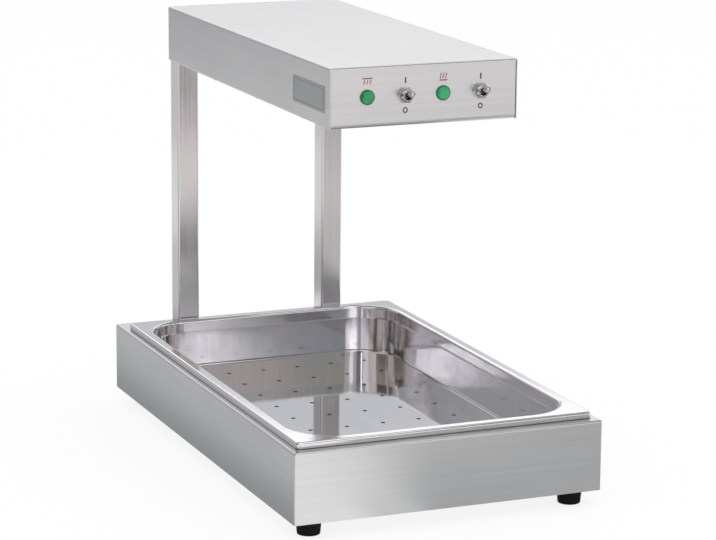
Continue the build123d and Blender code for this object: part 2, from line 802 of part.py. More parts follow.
# Control panel: front plate folded back under the hood, with its four holes
panel_width = hood_inner_width - 2 * panel_gap
panel_top = hood_top - sheet - panel_gap
panel_mid = panel_front + sheet / 2
control_middle = (control_count - 1) / 2
control_x = [(place - control_middle) * control_pitch for place in range(control_count)]
lamp_x = {"left": control_x[0], "right": control_x[2]}
switch_x = {"left": control_x[1], "right": control_x[3]}
with BuildPart() as control_panel:
    with BuildSketch(Plane.YZ):
        with BuildLine():
            FilletPolyline(
                (panel_mid, panel_top),
                (panel_mid, cover_low),
                (panel_front + panel_flange, cover_low),
                radius=panel_bend - sheet / 2,
            )
        trace(line_width=sheet)
    extrude(amount=panel_width / 2, both=True)
    with BuildSketch(Plane.XY.offset(hood_z)):
        with Locations((0, hood_front + panel_relief + panel_flange / 2)):
            Rectangle(panel_width, panel_flange)
            Rectangle(2 * (flange_end - seat_gap), panel_flange, mode=Mode.SUBTRACT)
        with Locations((-panel_screw_x, panel_screw_y), (panel_screw_x, panel_screw_y)):
            Circle(screw_hole)
    extrude(amount=sheet, mode=Mode.SUBTRACT)
    with BuildSketch(Plane.XZ.offset(-panel_front)):
        with Locations(*[(x, control_z) for x in lamp_x.values()]):
            Circle(lamp_body / 2 + hole_gap)
        with Locations(*[(x, control_z) for x in switch_x.values()]):
            Circle(bush_diameter / 2 + hole_gap)
    extrude(amount=-sheet, mode=Mode.SUBTRACT)
save(control_panel.part, "control_panel")

# Hood back: plate behind the posts with a flange turned in between them
with BuildPart() as hood_back:
    with BuildSketch(Plane.XZ.offset(-back_y)):
        with Locations((0, (hood_z + panel_top) / 2)):
            Rectangle(panel_width, panel_top - hood_z)
        with Locations(*hood_post_holes):
            Circle(screw_hole, mode=Mode.SUBTRACT)
    extrude(amount=sheet)
    with BuildSketch(Plane.XY.offset(hood_z)):
        with Locations((0, back_screw_y)):
            Rectangle(2 * (post_inner_x - seat_gap), back_flange)
        with Locations((-back_screw_x, back_screw_y), (back_screw_x, back_screw_y)):
            Circle(screw_hole, mode=Mode.SUBTRACT)
    extrude(amount=sheet)
save(hood_back.part, "hood_back")

# Wire guard: long wires on the hood floor, cross wires welded over them
long_z = hood_inside_z + guard_wire / 2
cross_z = long_z + guard_wire - guard_weld
long_pitch = (guard_width - 2 * guard_end) / (guard_long_wires - 1)
cross_pitch = (guard_length - 2 * guard_end) / (guard_cross_wires - 1)
with BuildPart() as heater_guard:
    with Locations((0, heater_y, long_z)):
        with GridLocations(long_pitch, 0, guard_long_wires, 1):
            Cylinder(guard_wire / 2, guard_length, rotation=(90, 0, 0))
    with Locations((0, heater_y, cross_z)):
        with GridLocations(0, cross_pitch, 1, guard_cross_wires):
            Cylinder(guard_wire / 2, guard_width, rotation=(0, 90, 0))
save(heater_guard.part, "heater_guard")

# Reflector: tapered trough over the guard, with a foot flange on the hood floor
with BuildPart() as reflector:
    with BuildSketch(Plane.XY.offset(hood_inside_z)):
        with Locations((0, heater_y)):
            RectangleRounded(
                reflector_width + 2 * reflector_sheet,
                reflector_length + 2 * reflector_sheet,
                reflector_corner + reflector_sheet,
            )
    extrude(amount=reflector_height, taper=reflector_taper)
    with BuildSketch(Plane.XY.offset(hood_inside_z)):
        with Locations((0, heater_y)):
            Rectangle(reflector_width + 2 * reflector_foot, reflector_length + 2 * reflector_foot)
    extrude(amount=reflector_sheet)
    with BuildSketch(Plane.XY.offset(hood_inside_z)):
        with Locations((0, heater_y)):
            RectangleRounded(reflector_width, reflector_length, reflector_corner)
    extrude(amount=reflector_height - reflector_sheet, taper=reflector_taper, mode=Mode.SUBTRACT)
    with BuildSketch(Plane.XY.offset(reflector_top)):
        with Locations((0, heater_y)):
            Rectangle(boss_width + 2 * boss_gap, boss_length + 2 * boss_gap)
    extrude(amount=-reflector_sheet, mode=Mode.SUBTRACT)
    with BuildSketch(Plane.XY.offset(hood_inside_z)):
        with Locations(*reflector_screw_spots):
            Circle(screw_thread)
    extrude(amount=reflector_sheet, mode=Mode.SUBTRACT)
save(reflector.part, "reflector")

with BuildPart() as reflector_screws:
    with Locations(*[(x, y, hood_floor_z) for x, y in reflector_screw_spots]):
        add(screw(hood_screw_length, low_head_height))
save(reflector_screws.part, "reflector_screws")

# Ceramic emitter: arched trough with a necked boss through the reflector
edge_z = emitter_crown - emitter_sag - emitter_thickness
neck_low = reflector_top
neck_high = neck_low + clip_thickness + neck_gap
with BuildPart() as infrared_emitter:
    with BuildSketch(Plane.XZ.offset(-heater_y)):
        with BuildLine():
            lower = ThreePointArc(
                (-emitter_width / 2, edge_z), (0, edge_z + emitter_sag), (emitter_width / 2, edge_z)
            )
            upper = ThreePointArc(
                (-emitter_width / 2, edge_z + emitter_thickness),
                (0, emitter_crown),
                (emitter_width / 2, edge_z + emitter_thickness),
            )
            Line(lower @ 0, upper @ 0)
            Line(lower @ 1, upper @ 1)
        make_face()
    extrude(amount=emitter_length / 2, both=True)
    fillet(infrared_emitter.edges(), emitter_round)
    with BuildSketch(Plane.XY.offset(edge_z + emitter_sag + emitter_thickness / 2)):
        with Locations((0, heater_y)):
            RectangleRounded(boss_width, boss_length, boss_corner)
    extrude(amount=reflector_top + boss_rise - edge_z - emitter_sag - emitter_thickness / 2)
    with BuildSketch(Plane.XY.offset(neck_low)):
        with Locations((0, heater_y)):
            Rectangle(2 * boss_width, 2 * boss_length)
            Rectangle(boss_width - 2 * neck_depth, boss_length - 2 * neck_depth, mode=Mode.SUBTRACT)
    extrude(amount=neck_high - neck_low, mode=Mode.SUBTRACT)
save(infrared_emitter.part, "infrared_emitter")

# Clip: forked plate pushed into the boss's neck
clip_width = boss_width + 2 * clip_margin
clip_length = boss_length + 2 * clip_margin
fork_width = boss_width - 2 * neck_depth + 2 * neck_gap
fork_length = boss_length - 2 * neck_depth + 2 * neck_gap
with BuildPart() as emitter_clip:
    with BuildSketch(Plane.XY.offset(neck_low + neck_gap / 2)):
        with Locations((0, heater_y)):
            RectangleRounded(clip_width, clip_length, clip_margin / 2)
            Rectangle(fork_width, fork_length, mode=Mode.SUBTRACT)
            Rectangle(
                clip_width / 2,
                fork_length,
                align=(Align.MIN, Align.CENTER),
                mode=Mode.SUBTRACT,
            )
    extrude(amount=clip_thickness)
save(emitter_clip.part, "emitter_clip")

# Terminal block in the hood, the emitter's leads and the loom to the switches
save(terminal_block((0, back_y - sheet - block_depth / 2, control_z)), "hood_terminal_block")

block_top = control_z + block_height / 2
block_back_y = back_y - sheet - block_depth / 2
boss_top = reflector_top + boss_rise
emitter_lead_z = boss_top + emitter_lead_rise
with BuildPart() as emitter_leads:
    for side in (-1, 1):
        lead_route = [
            (side * emitter_lead_x, heater_y, boss_top),
            (side * emitter_lead_x, heater_y, emitter_lead_z),
            (side * emitter_lead_x, block_back_y, emitter_lead_z),
            (side * emitter_lead_x, block_back_y, block_top),
        ]
        add(tube_along(lead_route, emitter_lead_bend, lead_diameter))
save(emitter_leads.part, "emitter_leads")

case_front = panel_back + case_gap
case_back = case_front + case_depth
loom_start_y = block_back_y - block_depth / 2
loom_route = [
    (loom_start, loom_start_y, control_z),
    (loom_start, loom_start_y - loom_reach, control_z),
    (switch_x["right"], loom_start_y - loom_reach, control_z),
    (switch_x["right"], case_back, control_z),
]
save(tube_along(loom_route, loom_bend, loom_diameter), "control_loom")

# Indicator lamps: domed lens outside, body and nut behind the panel
for side, x in lamp_x.items():
    lamp_plane = Plane(origin=(x, panel_front, control_z), x_dir=(1, 0, 0), z_dir=(0, -1, 0))
    with BuildPart() as lens:
        with BuildSketch(lamp_plane):
            Circle(lamp_lens / 2)
        extrude(amount=lamp_flange + lamp_dome)
        fillet(lens.faces().sort_by(Axis.Y)[0].edges(), lamp_dome_round)
        with BuildSketch(lamp_plane):
            Circle(lamp_stub / 2)
        extrude(amount=-lamp_stub_length)
    save(lens.part, f"lamp_lens_{side}")
    with BuildPart() as body:
        with BuildSketch(lamp_plane):
            Circle(lamp_body / 2)
        extrude(amount=-lamp_body_length)
        with BuildSketch(lamp_plane):
            Circle(lamp_stub / 2 + thread_gap)
        extrude(amount=-lamp_stub_length - seat_gap, mode=Mode.SUBTRACT)
        with BuildSketch(lamp_plane.offset(-lamp_body_length)):
            with GridLocations(lamp_blade, 0, 2, 1):
                Rectangle(lamp_blade_thickness, lamp_blade_width)
        extrude(amount=-lamp_blade)
    save(body.part, f"lamp_body_{side}")
    with BuildPart() as nut:
        with BuildSketch(lamp_plane.offset(-sheet)):
            RegularPolygon(lamp_nut / 2, hexagon_sides, major_radius=False)
            Circle(lamp_body / 2 + thread_gap, mode=Mode.SUBTRACT)
        extrude(amount=-lamp_nut_thickness)
    save(nut.part, f"lamp_nut_{side}")

# Toggle switches: case behind the panel, threaded bush through it, nut outside, lever on a cross pin
pivot_y = panel_front - bush_reach + lever_depth
for side, x in switch_x.items():
    switch_plane = Plane(origin=(x, panel_front, control_z), x_dir=(1, 0, 0), z_dir=(0, -1, 0))
    case_plane = switch_plane.offset(-sheet - case_gap)
    with BuildPart() as case:
        with BuildSketch(case_plane):
            Rectangle(case_width, case_height)
        extrude(amount=-case_depth)
        with BuildSketch(case_plane):
            Circle(bush_bore / 2)
        extrude(amount=-lever_tail, mode=Mode.SUBTRACT)
        with BuildSketch(case_plane.offset(-case_depth)):
            with Locations((0, -case_blade_pitch), (0, case_blade_pitch)):
                Rectangle(case_blade_width, case_blade_thickness)
        extrude(amount=-case_blade)
    save(case.part, f"switch_case_{side}")
    with BuildPart() as bush:
        with BuildSketch(switch_plane.offset(bush_reach)):
            Circle(bush_diameter / 2)
            Circle(bush_bore / 2, mode=Mode.SUBTRACT)
        extrude(amount=-bush_reach - sheet - case_gap)
        with Locations((x, pivot_y, control_z)):
            Cylinder(
                lever_pin / 2 + thread_gap, bush_diameter, rotation=(0, 90, 0), mode=Mode.SUBTRACT
            )
    save(bush.part, f"switch_bush_{side}")
    with BuildPart() as nut:
        with BuildSketch(switch_plane):
            RegularPolygon(switch_nut / 2, hexagon_sides, major_radius=False)
        extrude(amount=switch_nut_thickness)
        fillet(nut.faces().sort_by(Axis.Y)[0].edges(), switch_nut_round)
        with BuildSketch(switch_plane):
            Circle(bush_diameter / 2 + thread_gap)
        extrude(amount=switch_nut_thickness, mode=Mode.SUBTRACT)
    save(nut.part, f"switch_nut_{side}")
    with BuildPart() as pin:
        with Locations((x, pivot_y, control_z)):
            Cylinder(lever_pin / 2, bush_diameter, rotation=(0, 90, 0))
    save(pin.part, f"switch_pin_{side}")
    lever_way = (0, -cos(radians(lever_tilt)), sin(radians(lever_tilt)))
    lever_plane = Plane(origin=(x, pivot_y, control_z), x_dir=(1, 0, 0), z_dir=lever_way)
    with BuildPart(lever_plane) as lever:
        Sphere(lever_ball / 2)
        Cone(
            lever_neck / 2,
            lever_tip / 2,
            lever_reach - lever_tip / 2,
            align=(Align.CENTER, Align.CENTER, Align.MIN),
        )
        with Locations((0, 0, lever_reach - lever_tip / 2)):
            Sphere(lever_tip / 2)
        Cylinder(
            lever_tail_diameter / 2, lever_tail, align=(Align.CENTER, Align.CENTER, Align.MAX)
        )
        Cylinder(lever_pin / 2 + run_gap, 2 * lever_ball, rotation=(0, 90, 0), mode=Mode.SUBTRACT)
    save(lever.part, f"switch_lever_{side}")

# Rating plate on the hood's left side
plate_y = hood_front + plate_setback + plate_length / 2
plate_z = hood_z + plate_rise + plate_height / 2
with BuildPart() as rating_plate:
    with BuildSketch(Plane.YZ.offset(-hood_width / 2)):
        with Locations((plate_y, plate_z)):
            RectangleRounded(plate_length, plate_height, fold_radius)
    extrude(amount=-plate_thickness)
save(rating_plate.part, "rating_plate")
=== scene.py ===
import json
import math

import bmesh
import bpy
from mathutils import Matrix, Vector


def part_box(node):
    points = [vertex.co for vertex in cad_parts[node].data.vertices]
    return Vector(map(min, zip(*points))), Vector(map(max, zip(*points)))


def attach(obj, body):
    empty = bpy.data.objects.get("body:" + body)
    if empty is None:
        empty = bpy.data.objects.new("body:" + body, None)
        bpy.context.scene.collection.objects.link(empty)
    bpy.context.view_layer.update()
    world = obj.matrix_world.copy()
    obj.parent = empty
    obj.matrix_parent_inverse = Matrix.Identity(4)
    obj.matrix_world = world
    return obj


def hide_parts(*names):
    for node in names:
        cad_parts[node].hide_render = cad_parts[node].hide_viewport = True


# Fry warmer: finishes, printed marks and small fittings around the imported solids, in metres.

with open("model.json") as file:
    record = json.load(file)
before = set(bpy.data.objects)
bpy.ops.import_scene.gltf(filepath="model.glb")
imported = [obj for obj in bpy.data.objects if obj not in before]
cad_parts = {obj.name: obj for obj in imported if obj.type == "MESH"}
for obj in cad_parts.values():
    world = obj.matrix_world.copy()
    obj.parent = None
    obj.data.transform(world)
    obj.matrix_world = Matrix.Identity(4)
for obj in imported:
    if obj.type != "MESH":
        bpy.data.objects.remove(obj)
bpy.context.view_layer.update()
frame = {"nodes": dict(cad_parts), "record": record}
nodes = frame["nodes"]
scene = bpy.context.scene
scene.view_settings.view_transform = "Standard"

# Camera, at the photograph's viewing angle
camera_place = (-1.1609, -2.82375, 0.8924)
camera_azimuth = math.radians(-22.68)
camera_elevation = math.radians(12.77)
camera_roll = math.radians(0.47)
focal_pixels = 2882.0
photo_width = 716.0
sensor = 36.0
view_depth = 50.0


def aim_camera():
    """Make the camera from its place, its angles and its focal length."""
    a, e, r = camera_azimuth, camera_elevation, camera_roll
    back = Vector((math.sin(a) * math.cos(e), -math.cos(a) * math.cos(e), math.sin(e)))
    level = Vector((math.cos(a), math.sin(a), 0))
    upright = back.cross(level)
    right = math.cos(r) * level + math.sin(r) * upright
    up = math.cos(r) * upright - math.sin(r) * level
    lens = bpy.data.cameras.new("camera")
    lens.sensor_fit = "HORIZONTAL"
    lens.sensor_width = sensor
    lens.lens = focal_pixels / photo_width * sensor
    lens.clip_end = view_depth
    made = bpy.data.objects.new("camera", lens)
    turn = Matrix((right, up, back)).transposed().to_4x4()
    made.matrix_world = Matrix.Translation(camera_place) @ turn
    scene.collection.objects.link(made)
    scene.camera = made


aim_camera()


# Node helpers
noise_low, noise_high = 0.3, 0.7  # most of a noise lies between these
lean_low, lean_high = 0.6, 0.8  # upward part of a face that counts as standing, and as lying
bump_strength = 0.5


def finish_material(name):
    """A new node material with its tree and its shader."""
    made = bpy.data.materials.new(name)
    made.use_nodes = True
    return made, made.node_tree, made.node_tree.nodes["Principled BSDF"]


def add_node(tree, kind, **settings):
    """A shader node with its settings."""
    made = tree.nodes.new("ShaderNode" + kind)
    for key, value in settings.items():
        setattr(made, key, value)
    return made


def noise(tree, stretch, detail=3.0, roughness=0.55):
    """Noise on the object's own coordinates: a small stretch makes it run along that axis."""
    place = add_node(tree, "TexCoord")
    mapping = add_node(tree, "Mapping")
    mapping.inputs["Scale"].default_value = stretch
    made = add_node(tree, "TexNoise")
    made.inputs["Scale"].default_value = 1.0
    made.inputs["Detail"].default_value = detail
    made.inputs["Roughness"].default_value = roughness
    tree.links.new(place.outputs["Object"], mapping.inputs["Vector"])
    tree.links.new(mapping.outputs["Vector"], made.inputs["Vector"])
    return made.outputs["Fac"]


def spread(tree, value, low, high, out_low, out_high):
    """Map a value from one range to another, held at its ends."""
    made = add_node(tree, "MapRange")
    tree.links.new(value, made.inputs["Value"])
    for key, number in (
        ("From Min", low),
        ("From Max", high),
        ("To Min", out_low),
        ("To Max", out_high),
    ):
        made.inputs[key].default_value = number
    return made.outputs["Result"]


def spread_noise(tree, value, out_low, out_high):
    """Map the usual range of a noise to another range."""
    return spread(tree, value, noise_low, noise_high, out_low, out_high)


def combine(tree, operation, first, second):
    """Two values put together by a sum, a product or the like."""
    made = add_node(tree, "Math", operation=operation)
    tree.links.new(first, made.inputs[0])
    tree.links.new(second, made.inputs[1])
    return made.outputs["Value"]


def blend_value(tree, share, first, second):
    """A value between two, by a share."""
    made = add_node(tree, "Mix", data_type="FLOAT")
    tree.links.new(share, made.inputs["Factor"])
    tree.links.new(first, made.inputs["A"])
    tree.links.new(second, made.inputs["B"])
    return made.outputs["Result"]


def blend_colour(tree, share, first, second):
    """A colour between two, by a share."""
    made = add_node(tree, "Mix", data_type="RGBA")
    tree.links.new(share, made.inputs["Factor"])
    made.inputs["A"].default_value = (*first, 1)
    made.inputs["B"].default_value = (*second, 1)
    return made.outputs["Result"]


def bump_from(tree, shader, height, depth):
    """Raise the surface by a height pattern."""
    bump = add_node(tree, "Bump")
    bump.inputs["Strength"].default_value = bump_strength
    bump.inputs["Distance"].default_value = depth
    tree.links.new(height, bump.inputs["Height"])
    tree.links.new(bump.outputs["Normal"], shader.inputs["Normal"])


def shade(colour, share):
    """A colour made darker or lighter."""
    return tuple(min(1.0, share * part) for part in colour)


def tone_colour(tree, shader, pattern, colour, tone):
    """Let a pattern make the colour a little darker and lighter."""
    share = spread_noise(tree, pattern, 0.0, 1.0)
    mixed = blend_colour(tree, share, shade(colour, 1 - tone), shade(colour, 1 + tone))
    tree.links.new(mixed, shader.inputs["Base Color"])


def lying_share(tree):
    """One where a face lies flat, nought where it stands."""
    form = add_node(tree, "NewGeometry")
    parts = add_node(tree, "SeparateXYZ")
    tree.links.new(form.outputs["True Normal"], parts.inputs["Vector"])
    upward = add_node(tree, "Math", operation="ABSOLUTE")
    tree.links.new(parts.outputs["Z"], upward.inputs[0])
    return spread(tree, upward.outputs["Value"], lean_low, lean_high, 0.0, 1.0)


steel_tone = 0.03
brush_depth = 0.000005
brush_detail = 2.0
brush_roughness = 0.5
streak_share = 0.2
streak_gloss = 0.01
smudge_gloss = 0.03
smudge_size = (9, 9, 9)


def brushed_steel(name, colour, roughness, standing, lying):
    """Sheet steel with a fine brushed grain, faint streaks along it, and soft smudges."""
    made, tree, shader = finish_material(name)
    shader.inputs["Metallic"].default_value = 1.0
    flat = lying_share(tree)
    fine = blend_value(
        tree,
        flat,
        noise(tree, standing, brush_detail, brush_roughness),
        noise(tree, lying, brush_detail, brush_roughness),
    )
    streaks = blend_value(
        tree,
        flat,
        noise(tree, tuple(streak_share * part for part in standing), brush_detail),
        noise(tree, tuple(streak_share * part for part in lying), brush_detail),
    )
    tone_colour(tree, shader, streaks, colour, steel_tone)
    smudges = noise(tree, smudge_size)
    tree.links.new(
        combine(
            tree,
            "ADD",
            spread_noise(tree, streaks, -streak_gloss, streak_gloss),
            spread_noise(tree, smudges, roughness - smudge_gloss, roughness + smudge_gloss),
        ),
        shader.inputs["Roughness"],
    )
    bump_from(tree, shader, fine, brush_depth)
    return made


line_detail = 4.0
line_roughness = 0.6
wiping_size = (60, 14, 60)
wiping_low, wiping_high = 0.35, 0.75
cloud_size = (16, 16, 16)


def polished_steel(name, colour, roughness, drawn, depth, cloud_gloss):
    """Pressed and polished steel: faint drawing lines, wiping marks and a cloudy gloss."""
    made, tree, shader = finish_material(name)
    shader.inputs["Metallic"].default_value = 1.0
    lines = noise(tree, drawn, line_detail, line_roughness)
    wiping = noise(tree, wiping_size)
    clouds = noise(tree, cloud_size)
    tone_colour(tree, shader, lines, colour, steel_tone)
    tree.links.new(
        combine(
            tree,
            "ADD",
            spread(tree, wiping, wiping_low, wiping_high, 0.0, cloud_gloss),
            spread_noise(tree, clouds, roughness - cloud_gloss / 2, roughness + cloud_gloss / 2),
        ),
        shader.inputs["Roughness"],
    )
    bump_from(tree, shader, combine(tree, "ADD", lines, clouds), depth)
    return made


mottle_detail = 2.0
mottle_gloss = 0.06
mottle_size = (30, 30, 30)


def moulded(name, colour, roughness, speck=700.0, depth=0.00002, metallic=0.0, tone=0.12, gleam=0.5):
    """Moulded, cast or turned stuff with a fine surface texture."""
    made, tree, shader = finish_material(name)
    grains = noise(tree, (speck, speck, speck), mottle_detail)
    mottle = noise(tree, mottle_size, mottle_detail)
    shader.inputs["Metallic"].default_value = metallic
    shader.inputs["Specular IOR Level"].default_value = gleam
    tone_colour(tree, shader, mottle, colour, tone)
    tree.links.new(
        spread_noise(tree, mottle, roughness - mottle_gloss, roughness + mottle_gloss),
        shader.inputs["Roughness"],
    )
    bump_from(tree, shader, grains, depth)
    return made


# Finishes, one for each of the part's material slots
level_grain = (16, 16, 1300)
length_grain = (1300, 16, 16)
upright_grain = (1300, 1300, 16)
wall_lines = (300, 300, 10)
floor_lines = (500, 10, 500)
finishes = {
    "casing_steel": brushed_steel("casing_steel", (0.62, 0.62, 0.62), 0.32, level_grain, length_grain),
    "panel_steel": brushed_steel("panel_steel", (0.63, 0.63, 0.63), 0.33, level_grain, length_grain),
    "post_steel": brushed_steel("post_steel", (0.66, 0.65, 0.65), 0.17, upright_grain, length_grain),
    "pan_steel": polished_steel("pan_steel", (0.70, 0.69, 0.70), 0.10, wall_lines, 0.000002, 0.03),
    "insert_steel": polished_steel(
        "insert_steel",
        (0.68, 0.69, 0.70),
        0.045,
        floor_lines,
        0.000001,
        0.02,
    ),
    "foot_rubber": moulded("foot_rubber", (0.008, 0.008, 0.008), 0.75, gleam=0.08),
    "screw_steel": moulded("screw_steel", (0.55, 0.55, 0.53), 0.3, metallic=1.0),
    "heater_aluminium": moulded("heater_aluminium", (0.80, 0.80, 0.80), 0.22, metallic=1.0),
    "element_sheath": moulded("element_sheath", (0.16, 0.14, 0.12), 0.45, metallic=1.0),
    "bracket_steel": moulded("bracket_steel", (0.50, 0.50, 0.49), 0.35, metallic=1.0),
    "guard_wire": moulded("guard_wire", (0.58, 0.58, 0.57), 0.25, metallic=1.0),
    "insulation_wool": moulded("insulation_wool", (0.70, 0.68, 0.60), 0.93, 260.0, 0.0006),
    "cutout_plastic": moulded("cutout_plastic", (0.03, 0.03, 0.03), 0.45),
    "block_ceramic": moulded("block_ceramic", (0.75, 0.73, 0.68), 0.4),
    "emitter_ceramic": moulded("emitter_ceramic", (0.68, 0.66, 0.62), 0.35),
    "cable_jacket": moulded("cable_jacket", (0.025, 0.025, 0.025), 0.55),
    "gland_plastic": moulded("gland_plastic", (0.035, 0.035, 0.037), 0.42),
    "gland_rubber": moulded("gland_rubber", (0.015, 0.015, 0.015), 0.7),
    "lamp_green": moulded("lamp_green", (0.02, 0.34, 0.12), 0.16, 300.0, 0.00004, tone=0.3),
    "lamp_plastic": moulded("lamp_plastic", (0.03, 0.03, 0.03), 0.4),
    "switch_chrome": moulded("switch_chrome", (0.48, 0.48, 0.49), 0.12, 400.0, 0.000004, 1.0),
    "switch_plastic": moulded("switch_plastic", (0.025, 0.025, 0.025), 0.45),
    "plate_foil": moulded("plate_foil", (0.43, 0.44, 0.45), 0.42, metallic=1.0),
}
black_ink = moulded("black_ink", (0.03, 0.03, 0.03), 0.6)
red_ink = moulded("red_ink", (0.32, 0.10, 0.08), 0.6)
grey_ink = moulded("grey_ink", (0.19, 0.19, 0.20), 0.6)
dark_green = moulded("dark_green", (0.008, 0.13, 0.045), 0.25, 300.0, 0.00002, tone=0.2)

for row in frame["record"]["subparts"]:
    for place in nodes[row["node"]].material_slots:
        place.material = finishes[row["material_slot"]]


# Mesh helpers
def middle(node):
    """The middle of a node's box."""
    low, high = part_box(node)
    return (Vector(low) + Vector(high)) / 2


def piece(name, shape, look, body):
    """Make an object of a finished bmesh, with its look, riding on a body."""
    mesh = bpy.data.meshes.new(name)
    shape.to_mesh(mesh)
    shape.free()
    mesh.materials.append(look)
    made = bpy.data.objects.new(name, mesh)
    scene.collection.objects.link(made)
    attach(made, body)
    return made


merge_distance = 0.000001


def close_up(shape):
    """Merge doubled points and turn the faces outwards."""
    bmesh.ops.remove_doubles(shape, verts=shape.verts, dist=merge_distance)
    bmesh.ops.recalc_face_normals(shape, faces=shape.faces)


def turned(shape, outline, steps, centre, closed=False):
    """Spin an outline of radius and forward reach about a front-to-back axis through a centre."""
    before = set(shape.verts)
    made = [shape.verts.new((radius, -reach, 0)) for radius, reach in outline]
    edges = [shape.edges.new(pair) for pair in zip(made, made[1:])]
    if closed:
        edges.append(shape.edges.new((made[-1], made[0])))
    bmesh.ops.spin(
        shape,
        geom=made + edges,
        cent=(0, 0, 0),
        axis=(0, 1, 0),
        angle=2 * math.pi,
        steps=steps,
        use_merge=True,
    )
    added = [point for point in shape.verts if point not in before]
    bmesh.ops.translate(shape, verts=added, vec=centre)


# Lamp lenses: a flange with a rounded edge and a dome cut in facets
lens_stub = 0.0045
lens_stub_back = -0.0060
lens_flange = 0.0015
flange_steps = 48
edge_start, edge_middle = 0.7, 0.93  # where the edge starts to round off, as shares of the flange
edge_in_middle, edge_in_end = 0.0003, 0.0008
dome_facets = 14
dome_foot = 0.0012
dome_outline = (
    (0.0, dome_foot),
    (0.0066, dome_foot),
    (0.0065, 0.0024),
    (0.0055, 0.0044),
    (0.0034, 0.0055),
    (0.0, 0.0060),
)
flange_margin = 0.0002  # what lies behind this, in front of the flange, is darker than the dome
panel_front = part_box("control_panel")[0][1]
for side in ("left", "right"):
    node = "lamp_lens_" + side
    low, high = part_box(node)
    radius = (high[0] - low[0]) / 2
    centre = Vector((middle(node).x, panel_front, middle(node).z))
    lens = bmesh.new()
    turned(
        lens,
        (
            (0, lens_stub_back),
            (lens_stub, lens_stub_back),
            (lens_stub, 0),
            (radius, 0),
            (radius, edge_start * lens_flange),
            (radius - edge_in_middle, edge_middle * lens_flange),
            (radius - edge_in_end, lens_flange),
            (0, lens_flange),
        ),
        flange_steps,
        centre,
    )
    turned(lens, dome_outline, dome_facets, centre)
    close_up(lens)
    made = piece("faceted_lens_" + side, lens, finishes["lamp_green"], "base")
    made.data.materials.append(dark_green)
    for face in made.data.polygons:
        face.material_index = int(face.center.y > panel_front - lens_flange - flange_margin)
    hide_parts(node)

# Switch bushes with their threads
thread_pitch = 0.0010
thread_depth = 0.0004
thread_steps = 40
bush_bore = 0.0039
for side in ("left", "right"):
    node = "switch_bush_" + side
    low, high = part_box(node)
    radius = (high[0] - low[0]) / 2
    back = panel_front - high[1]
    reach = panel_front - low[1]
    turns = int((reach - back) / thread_pitch)
    outline = [(bush_bore, back), (radius - thread_depth, back)]
    for turn in range(turns):
        outline.append((radius, back + (turn + 0.5) * thread_pitch))
        outline.append((radius - thread_depth, back + (turn + 1) * thread_pitch))
    outline[-1] = (radius - thread_depth, reach)
    outline.append((bush_bore, reach))
    bush = bmesh.new()
    centre = Vector((middle(node).x, panel_front, middle(node).z))
    turned(bush, outline, thread_steps, centre, closed=True)
    close_up(bush)
    made = piece("threaded_bush_" + side, bush, finishes["switch_chrome"], "base")
    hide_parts(node)

# Printed marks on the control panel
ink_thickness = 0.00006
stroke = 0.0012
bar_steps = 12
ring_steps = 40
mark_gap = 0.0152
mark_height = 0.0060
bar_width = 0.0016
nought_width = 0.0054


def place_print(shape, points, x, z):
    """Put flat printed points, drawn lying in X and Y, on the front of the panel."""
    upright = Matrix.Rotation(math.radians(90), 4, "X")
    bmesh.ops.transform(shape, matrix=upright, verts=points)
    bmesh.ops.translate(shape, verts=points, vec=(x, panel_front, z))


def bar(shape, x, z, width, height, wave=0.0):
    """A printed bar, upright and wavy where it has a wave."""
    flat = bmesh.ops.create_grid(shape, x_segments=1, y_segments=bar_steps, size=0.5)
    points = flat["verts"]
    bmesh.ops.scale(shape, verts=points, vec=(width, height, 1))
    for point in points:
        point.co.x += wave * math.sin(2 * math.pi * point.co.y / height)
    place_print(shape, points, x, z)


def ring(shape, x, z, width, height):
    """A printed nought."""
    outer = bmesh.ops.create_circle(shape, segments=ring_steps, radius=0.5)["verts"]
    inner = bmesh.ops.create_circle(shape, segments=ring_steps, radius=0.5)["verts"]
    bmesh.ops.scale(shape, verts=outer, vec=(width, height, 1))
    bmesh.ops.scale(shape, verts=inner, vec=(width - 2 * stroke, height - 2 * stroke, 1))
    edges = {edge for point in outer + inner for edge in point.link_edges}
    bmesh.ops.bridge_loops(shape, edges=list(edges))
    place_print(shape, outer + inner, x, z)


def thicken(shape, push):
    """Give flat printed faces their thickness."""
    raised = bmesh.ops.extrude_face_region(shape, geom=list(shape.faces))["geom"]
    moved = [item for item in raised if isinstance(item, bmesh.types.BMVert)]
    bmesh.ops.translate(shape, verts=moved, vec=push)
    bmesh.ops.recalc_face_normals(shape, faces=shape.faces)


def print_off(name, shape, ink):
    """Turn printed faces to the front, give them their thickness, and make the piece."""
    bmesh.ops.recalc_face_normals(shape, faces=shape.faces)
    for face in shape.faces:
        if face.normal.y > 0:
            face.normal_flip()
    thicken(shape, (0, -ink_thickness, 0))
    piece(name, shape, ink, "base")


marks = bmesh.new()
for side in ("left", "right"):
    spot = middle("switch_nut_" + side)
    bar(marks, spot.x, spot.z + mark_gap, bar_width, mark_height)
    ring(marks, spot.x, spot.z - mark_gap, nought_width, mark_height)
print_off("switch_marks", marks, black_ink)

heat_rise = 0.0165
heat_line = 0.0014
heat_wave = 0.0005
hood_line_width, hood_line_rise = 0.0110, 0.0024
hood_wave_pitch, hood_wave_height, hood_wave_rise = 0.0034, 0.0042, -0.0012
base_line_width, base_line_rise = 0.0090, -0.0034
base_wave_pitch, base_wave_height, base_wave_rise = 0.0030, 0.0058, 0.0010


